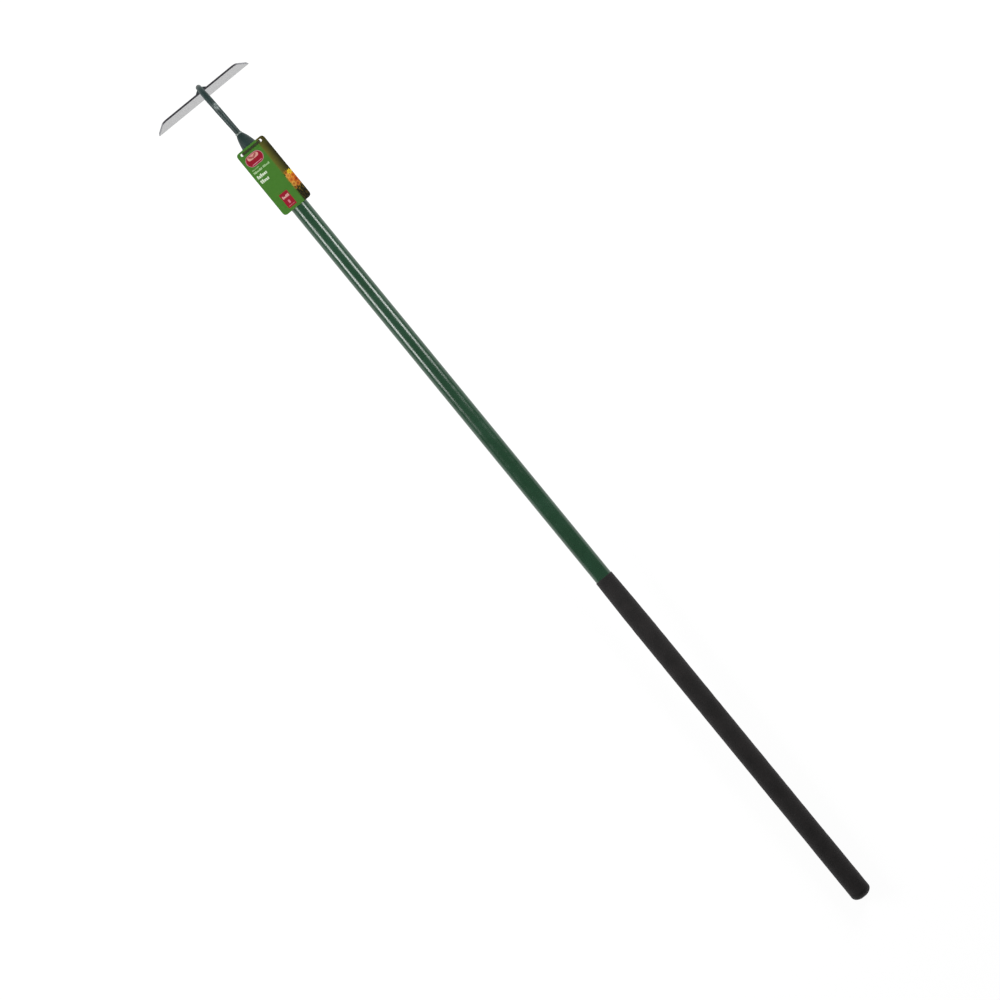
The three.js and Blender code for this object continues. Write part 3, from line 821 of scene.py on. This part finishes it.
def blade_weld_shape(side):
    """A rippled fillet between the foot and the blade's outer face."""
    toe_reach = 6.9
    head_angle = math.radians(8)
    first_y = -0.4
    ripple_length, ripple_height = 1.9, 0.035
    smallest_end = 0.12
    half_width = FOOT_WIDTH / 2
    foot_centre = FOOT_THICKNESS / 2 + GAP
    toe = (side * (half_width + toe_reach), 0)
    head = (
        side * half_width * math.cos(head_angle),
        foot_centre + FOOT_THICKNESS / 2 * math.sin(head_angle),
    )
    middle = np.array((side * (half_width + 3.0), 2.4))
    face = [
        (1 - t) ** 2 * np.array(head) + 2 * t * (1 - t) * middle + t * t * np.array(toe)
        for t in np.linspace(0, 1, 14)
    ]
    root = (side * (half_width - 2.5), 0)
    inner = (side * (half_width - 1.2), foot_centre)
    section = np.array([root, inner, *face])
    anchor = np.array((side * half_width, 0.6))
    rings = []
    for t in np.linspace(0, 1, 90):
        end = math.sqrt(max(0, 1 - abs(2 * t - 1) ** 7))
        ripple = 1 + ripple_height * abs(math.sin(math.pi * t * WELD_LENGTH / ripple_length))
        flat = anchor + (section - anchor) * max(smallest_end, end) * ripple
        x = NECK_FOOT_X + flat[:, 0]
        y = np.full(len(flat), first_y - WELD_LENGTH * t)
        z = -BLADE_THICKNESS / 2 - np.maximum(flat[:, 1], -0.05)
        rings.append(np.column_stack((x, y, z)))
    return lofted(rough(rings, size=2.5, height=0.22, seed=5 + side))


def leaned(rings):
    """Rings moved sideways, on to the socket's own axis."""
    moved = np.array(rings)
    moved[..., 1] += socket_y(moved[..., 0])
    return moved


def neck_weld_shape():
    """A rippled bead round the neck, in front of the socket's mouth."""
    half_length, height = 1.5, 1.35
    ripple_count, ripple_height = 15, 0.16
    inner = NECK_RADIUS_AT_SOCKET - 0.4
    root = inner - 0.6
    centre_x = SOCKET_LOW[0] - half_length + 0.1
    bead = [
        (centre_x + half_length * math.cos(angle), inner + height * math.sin(angle))
        for angle in np.linspace(0, math.pi, 12)
    ]
    bead += [(centre_x - half_length, root), (centre_x + half_length, root)]
    rings = turned(bead, 96)
    angle = np.arctan2(rings[..., 2], rings[..., 1])
    rings[..., 0] += ripple_height * np.sin(ripple_count * angle)
    return lofted(rough(leaned(rings), size=1.6, height=0.2, seed=9), looped=True)


def socket_shape():
    """The pointed sleeve, with its spigot inside the tube."""
    mouth_x, spigot_end_x = SOCKET_LOW[0], SOCKET_HIGH[0]
    mouth_bore = NECK_RADIUS_AT_SOCKET + 0.1
    spigot_radius = TUBE_RADIUS - TUBE_WALL - 0.1
    spigot_bore = spigot_radius - SOCKET_WALL
    shoulder_x = TUBE_START - 0.1
    nose = []
    for t in np.linspace(0.01, 1, 40) ** 1.4:
        swell = math.sin(math.pi / 2 * t**NOSE_FULLNESS)
        x = mouth_x + (shoulder_x - mouth_x) * t
        nose.append((x, SOCKET_MOUTH_RADIUS + (TUBE_RADIUS - SOCKET_MOUTH_RADIUS) * swell))
    lip = rounded([
        (mouth_x + 6, mouth_bore, 0),
        (mouth_x, mouth_bore, 0.25),
        (mouth_x, SOCKET_MOUTH_RADIUS, 0.25),
        (*nose[0], 0),
    ], steps=4, closed=False)
    shoulder = rounded([
        (*nose[-2], 0),
        (shoulder_x, TUBE_RADIUS, 0.3),
        (shoulder_x, spigot_radius, 0.2),
        (spigot_end_x, spigot_radius, 0.5),
        (spigot_end_x, spigot_bore, 0.5),
        (shoulder_x, spigot_bore, 4),
        (mouth_x + 14, NECK_RADIUS_AT_SOCKET + 0.9, 3),
        (mouth_x + 7, NECK_RADIUS_AT_SOCKET + 0.3, 0),
    ], steps=5, closed=False)
    rings = turned([*lip, *nose[1:-2], *shoulder], 96)
    return lofted(leaned(rings), looped=True)


# ------------------------------------ the shaft


def tube_shape():
    """A long tube, open at both ends, with softened rims."""
    bore = TUBE_RADIUS - TUBE_WALL
    profile = rounded([
        (TUBE_LOW[0], bore, 0.3),
        (TUBE_LOW[0], TUBE_RADIUS, 0.35),
        (TUBE_HIGH[0], TUBE_RADIUS, 0.35),
        (TUBE_HIGH[0], bore, 0.3),
    ], steps=5)
    return lofted(turned(profile, 128), looped=True)


def rivet_shape(side):
    """A blind rivet's domed head, with the snapped stem in its middle."""
    radius = RIVET_HEAD_RADIUS
    top = RIVET_HIGH[1]
    profile = rounded([
        (TUBE_RADIUS - TUBE_WALL, 1.0, 0),
        (TUBE_RADIUS - TUBE_WALL, radius - 0.2, 0),
        (TUBE_RADIUS + 0.15, radius, 0.2),
        (TUBE_RADIUS + 0.7, radius - 0.1, 0.4),
        (top - 0.15, radius * 0.62, 1.0),
        (top, 1.25, 0.35),
        (top - 0.6, 1.1, 0.1),
        (top - 0.6, 0.85, 0.05),
        (top - 0.25, 0.75, 0.15),
        (top - 0.3, 0.05, 0),
    ], steps=5, closed=False)
    rings = turned(profile, 40)
    outward, across, up = rings[..., 0], rings[..., 1], rings[..., 2]
    return lofted(np.stack((across + RIVET_X, side * outward, up), axis=-1))


def grip_profile():
    """The grip's (x, radius) pairs, from its bore's closed end round to the middle of its dome."""
    start, end = GRIP_LOW[0], GRIP_HIGH[0]
    bore = TUBE_RADIUS + 0.05
    bore_end = TUBE_HIGH[0] + GRIP_BORE_PAST_TUBE
    swell = GRIP_HIGH[2]
    lip_length = 3
    lip_radius = GRIP_LIP_RADIUS + 0.05

    profile = [(bore_end, 0.3), (bore_end, bore * 0.6), (bore_end, bore)]
    profile += [(x, bore) for x in np.arange(bore_end - 40, start + 20, -40)]
    profile += list(rounded([
        (start + lip_length, bore, 0),
        (start, bore + 0.1, 0.3),
        (start, GRIP_LIP_RADIUS, 0.9),
        (start + lip_length, lip_radius, 0),
    ], steps=6, closed=False))
    for t in np.linspace(0, 1, 28)[1:]:
        x = start + lip_length + (GRIP_FLARE_LENGTH - lip_length) * t
        profile.append((x, lip_radius + (GRIP_RADIUS - lip_radius) * math.sin(math.pi / 2 * t)))
    for x in np.arange(start + GRIP_FLARE_LENGTH + 4, end - GRIP_SWELL_START, 4):
        profile.append((x, GRIP_RADIUS))

    last_angle = math.acos(GRIP_FLAT_RADIUS / swell)
    dome_start = end - GRIP_DOME_HEIGHT * math.sin(last_angle)
    for x in np.linspace(end - GRIP_SWELL_START, dome_start - 3, 24):
        share = smoothstep(x, end - GRIP_SWELL_START, end - GRIP_SWELL_END)
        profile.append((x, GRIP_RADIUS + (swell - GRIP_RADIUS) * share))
    for t in np.linspace(0, 1, 24):
        angle = last_angle * t
        profile.append((dome_start + GRIP_DOME_HEIGHT * math.sin(angle), swell * math.cos(angle)))
    profile += [(end, GRIP_FLAT_RADIUS * 0.6), (end, 0.3)]
    return profile


def grip_shape():
    """A long foam sleeve: a thin lip, a slow flare, a slight swell and a closed, domed end."""
    rings = turned(grip_profile(), 96)
    is_outside = rings[..., 0] > GRIP_LOW[0] + 1
    is_outside &= np.hypot(rings[..., 1], rings[..., 2]) > TUBE_RADIUS + 0.45
    uneven = rough(rough(rings, size=14, height=0.16, seed=2), size=3.5, height=0.1, seed=4)
    # Leaves room for the unevenness inside the grip's true size.
    room = 0.008
    uneven[..., 1:] *= 1 - room
    return lofted(np.where(is_outside[..., None], uneven, rings))


# ------------------------------------ the card and its tie


# The span along the card, from its crease, that is finely divided.
FINE_SPAN = (-1.5, 9)
CARD_WAVE = 0.12


def card_points(outline, hole_centres):
    """The sheet's corners and inner points, with the edges that go round its holes."""
    (x0, y0, _), (x1, y1, _) = CARD_LOW, CARD_HIGH
    sides = (y0, y1)
    fine = np.arange(CREASE_X + FINE_SPAN[0], CREASE_X + FINE_SPAN[1], 0.75)
    long_edges = [(x, y) for x in np.arange(x0 + 9, x1 - 8, 4) for y in sides]
    near_crease = [(x, y) for x in fine for y in sides]
    points = [Vector(p) for p in (*outline, *long_edges, *near_crease)]

    angles = np.linspace(0, 2 * math.pi, 36, endpoint=False)
    circle = np.column_stack((np.cos(angles), np.sin(angles))) * CARD_HOLE_RADIUS
    edges = []
    for centre in hole_centres:
        start = len(points)
        points += [Vector(p) for p in circle + centre]
        edges += [(start + i, start + (i + 1) % len(circle)) for i in range(len(circle))]

    above = np.arange(x0 + 3, CREASE_X - 2, 3)
    below = np.arange(CREASE_X + 12, x1 - 2, 4)
    for x in (*above, *fine, *below):
        for y in np.linspace(y0 + 3, y1 - 3, 13):
            if all(math.dist((x, y), centre) > CARD_HOLE_RADIUS + 1 for centre in hole_centres):
                points.append(Vector((x, y)))
    return points, edges


def card_shape():
    """A thin sheet with rounded corners and two punched holes, finely divided at its crease."""
    (x0, y0, bottom), (x1, y1, top) = CARD_LOW, CARD_HIGH
    corners = ((x0, y0), (x1, y0), (x1, y1), (x0, y1))
    outline = rounded([(*corner, CARD_CORNER) for corner in corners], steps=10)
    half_spacing = CARD_HOLE_SPACING / 2
    hole_centres = [
        np.array((TIE_CENTRE_X, CARD_CENTRE_Y + side * half_spacing))
        for side in (-1, 1)
    ]
    points, edges = card_points(outline, hole_centres)
    flat, _, triangles, *_ = delaunay_2d_cdt(points, edges, [], 0, 1e-4)

    sheet = []
    for triangle in triangles:
        middle = sum((flat[i] for i in triangle), Vector((0, 0))) / 3
        if all(math.dist(middle, centre) > CARD_HOLE_RADIUS * 0.98 for centre in hole_centres):
            sheet.append(list(triangle))
    sides = {}
    for triangle in sheet:
        for side in zip(triangle, triangle[1:] + triangle[:1]):
            sides[side] = True
    rim = [(a, b) for a, b in sides if (b, a) not in sides]

    count = len(flat)
    wave = [CARD_WAVE * noise.noise(Vector((p.x / 40, p.y / 30, 0.7))) for p in flat]
    shift = -CARD_WAVE / 2
    upper = [(p.x, p.y, top + shift + w) for p, w in zip(flat, wave)]
    lower = [(p.x, p.y, bottom + shift + w) for p, w in zip(flat, wave)]
    faces = sheet + [[i + count for i in reversed(triangle)] for triangle in sheet]
    faces += [[b, a, a + count, b + count] for a, b in rim]
    return upper + lower, faces


def add_card():
    """The card's one sheet, printed on its face and plain on its back and edges."""
    nodes = ["card_top", "card_flap"]
    card = add_piece("hang_card", card_shape(), printed_card(), nodes)
    mesh = card.data
    mesh.materials.append(plain_board())
    page = mesh.uv_layers.new(name="page")
    for polygon in mesh.polygons:
        polygon.material_index = 0 if polygon.normal.z > 0.5 else 1
        for loop in polygon.loop_indices:
            x, y, _ = mesh.vertices[mesh.loops[loop].vertex_index].co / MM
            page.data[loop].uv = ((y - CARD_LOW[1]) / CARD_WIDTH, (x - CARD_LOW[0]) / CARD_LENGTH)
    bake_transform(card)


def strap_path():
    """The middle of the strap: a flat run over the card, and a half turn behind the socket."""
    top = TIE_HIGH[2] - TIE_THICKNESS / 2
    chord = math.sqrt(CARD_HOLE_RADIUS**2 - (TIE_WIDTH / 2) ** 2)
    half_top = CARD_HOLE_SPACING / 2 - chord + GAP + TIE_THICKNESS / 2
    back = TUBE_RADIUS + TIE_THICKNESS / 2
    corner = 1.4
    front = rounded([
        (back, 0, 0),
        (half_top, top - 2, 0),
        (half_top, top, corner),
        (-half_top, top, corner),
        (-half_top, top - 2, 0),
        (-back, 0, 0),
    ], closed=False)
    angles = np.linspace(math.pi, 2 * math.pi, 48)[1:-1]
    behind = np.column_stack((back * np.cos(angles), back * np.sin(angles)))
    path = np.concatenate((front, behind))
    path = np.column_stack((np.zeros(len(path)), path))
    path, _ = resampled(np.concatenate((path, path[:1])), 161)
    return path[:-1]


def strap_section():
    """Across the strap: rounded edges, and a shallow channel in its outer face."""
    half_width, half = TIE_WIDTH / 2, TIE_THICKNESS / 2
    channel_edge, channel_depth = half_width - 0.55, 0.18
    channel_foot = channel_edge - 0.2
    return rounded([
        (-half_width, -half, 0.2),
        (half_width, -half, 0.2),
        (half_width, half, 0.3),
        (channel_edge, half, 0.12),
        (channel_foot, half - channel_depth, 0.1),
        (-channel_foot, half - channel_depth, 0.1),
        (-channel_edge, half, 0.12),
        (-half_width, half, 0.3),
    ], steps=3)


def tie_strap():
    """The closed strap, through the card's holes and round the socket."""
    path = strap_path()
    section = strap_section()
    tangent = np.roll(path, -1, axis=0) - np.roll(path, 1, axis=0)
    tangent /= np.linalg.norm(tangent, axis=1, keepdims=True)
    outward = np.column_stack((tangent[:, 0], tangent[:, 2], -tangent[:, 1]))
    outward *= np.sign(np.sum(outward * path, axis=1))[:, None]
    along = np.array((1, 0, 0))
    rings = [
        centre + np.outer(section[:, 0], along) + np.outer(section[:, 1], out)
        for centre, out in zip(path, outward)
    ]
    return lofted(np.array(rings) + (TIE_CENTRE_X, CARD_CENTRE_Y, 0), looped=True)


def block(half_x, half_y, low, high, radius, softening=0.35):
    """Rings of a block along z below the tie's middle, with rounded corners and softened ends."""
    outline = rounded([
        (-half_x, -half_y, radius),
        (half_x, -half_y, radius),
        (half_x, half_y, radius),
        (-half_x, half_y, radius),
    ], steps=5)
    slight = softening * 0.3
    stages = [
        (softening, low),
        (slight, low + slight),
        (0, low + softening),
        (0, high - softening),
        (slight, high - slight),
        (softening, high),
    ]
    rings = [
        np.column_stack((inset(outline, amount), np.full(len(outline), z)))
        for amount, z in stages
    ]
    return np.array(rings) + (TIE_CENTRE_X, 0, 0)


def tie_shape():
    """Strap, ratchet head with its slot, and the cut tail."""
    head_low = -17.2
    head_high = -TUBE_RADIUS - 0.2
    head = block(3, 3.5, head_low, head_high, 0.9)
    slot = block(2.2, 1.1, head_low, head_high, 0.3)[0]
    recess = [slot, slot + (0, 0, 0.25), slot + (0, 0, 1.3)]
    tail = block(TIE_WIDTH / 2, TIE_THICKNESS / 2, TIE_LOW[2], head_low + 1.5, 0.2, 0.15)
    return joined(tie_strap(), lofted([*recess[::-1], *head]), lofted(tail))


# ------------------------------------ camera, floor and light


def add_camera():
    """Looks straight down on the hoe, from far away, with the head at the upper left."""
    target = Vector((725, -44.7, 0)) * MM
    turn = math.radians(50.722)
    width = 1.435
    distance = 30.0
    data = bpy.data.cameras.new("camera")
    data.sensor_width = 36
    data.lens = data.sensor_width * distance / width
    data.clip_start = 1.0
    data.clip_end = 2 * distance
    camera = bpy.data.objects.new("camera", data)
    bpy.context.scene.collection.objects.link(camera)
    place = Matrix.Translation(target + Vector((0, 0, distance)))
    camera.matrix_world = HOE @ place @ Matrix.Rotation(turn, 4, "Z")
    bpy.context.scene.camera = camera


def add_strip(name, side, span_x, width, distance, tilt, radiance):
    """A long soft light parallel to the shaft, tilted to one side by degrees from straight above."""
    start_x, end_x = span_x
    length = end_x - start_x
    data = bpy.data.lights.new(name, "AREA")
    data.shape = "RECTANGLE"
    data.size = length
    data.size_y = width
    # An area light of one watt gives a radiance of about a quarter over one square metre.
    data.energy = 4 * radiance * length * width
    lamp = bpy.data.objects.new(name, data)
    bpy.context.scene.collection.objects.link(lamp)
    angle = math.radians(tilt)
    back = Vector((0, side * math.sin(angle), math.cos(angle)))
    along = Vector((1, 0, 0))
    place = Matrix((along, back.cross(along), back)).transposed().to_4x4()
    place.translation = back * distance + Vector(((start_x + end_x) / 2, 0, 0))
    lamp.matrix_world = HOE @ place
    lamp.visible_camera = False
    return lamp


def add_lights():
    """On each side a wide strip that lights the hoe, and a narrow one that shines in its gloss."""
    # Each narrow strip ends where its line of light on the tube fades.
    for side, narrow_end in ((-1, 0.505), (1, 0.46)):
        wide = add_strip(
            f"wide_{side}", side,
            span_x=(-1.125, 0.525), width=0.85, distance=1.9, tilt=54.5, radiance=5.0,
        )
        wide.visible_glossy = False
        narrow = add_strip(
            f"narrow_{side}", side,
            span_x=(0.1, narrow_end), width=0.25, distance=0.8, tilt=51.5, radiance=12.5,
        )
        narrow.visible_diffuse = False


def add_world():
    """An even white glow that fills the shadows."""
    world = bpy.data.worlds.new("studio")
    world.use_nodes = True
    background = world.node_tree.nodes["Background"]
    background.inputs["Color"].default_value = (1, 1, 1, 1)
    background.inputs["Strength"].default_value = 0.15
    bpy.context.scene.world = world


def add_floor():
    """A wide white floor just below the hoe, lit from within so that it stays white."""
    half = 20.0
    drop = 0.0002
    mesh = bpy.data.meshes.new("floor")
    corners = [(-half, -half), (half, -half), (half, half), (-half, half)]
    mesh.from_pydata([(x, y, -drop) for x, y in corners], [], [(0, 1, 2, 3)])
    floor = bpy.data.objects.new("floor", mesh)
    bpy.context.scene.collection.objects.link(floor)
    look = Look("floor", Base_Color=(0.14, 0.14, 0.14, 1), Roughness=0.9, Specular_IOR_Level=0.2)
    look.set(Emission_Color=(1, 1, 1, 1), Emission_Strength=0.94)
    mesh.materials.append(look.material)


add_camera()
add_floor()
add_world()
add_lights()
bpy.context.scene.view_settings.view_transform = "Standard"

# ------------------------------------ the pieces

paint = dark_paint()
steel = rivet_steel()
weld = weld_metal()

pieces = [
    add_piece("blade_plate", blade_shape(), ground_steel(), ["blade"], HOE @ PLATE),
    add_piece("forged_neck", neck_shape(), paint, ["neck"]),
    add_piece("neck_bead", neck_weld_shape(), weld, ["neck_weld"]),
    add_piece("socket_sleeve", socket_shape(), paint, ["socket"]),
    add_piece("tube_skin", tube_shape(), green_paint(), ["shaft_tube"]),
    add_piece("foam_grip", grip_shape(), grip_foam(), ["grip"]),
    add_piece("nylon_tie", tie_shape(), tie_nylon(), ["cable_tie"]),
]
for word, side in (("left", -1), ("right", 1)):
    bead, weld_node = blade_weld_shape(side), [f"blade_weld_{word}"]
    pieces.append(add_piece(f"blade_bead_{word}", bead, paint, weld_node, HOE @ PLATE))
    rivet, rivet_node = rivet_shape(side), [f"rivet_{word}"]
    pieces.append(add_piece(f"rivet_head_{word}", rivet, steel, rivet_node))
for piece in pieces:
    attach(piece, "hoe")

add_card()

plug = frame["nodes"]["tube_plug"]
plug.data.materials.clear()
plug.data.materials.append(plug_plastic())
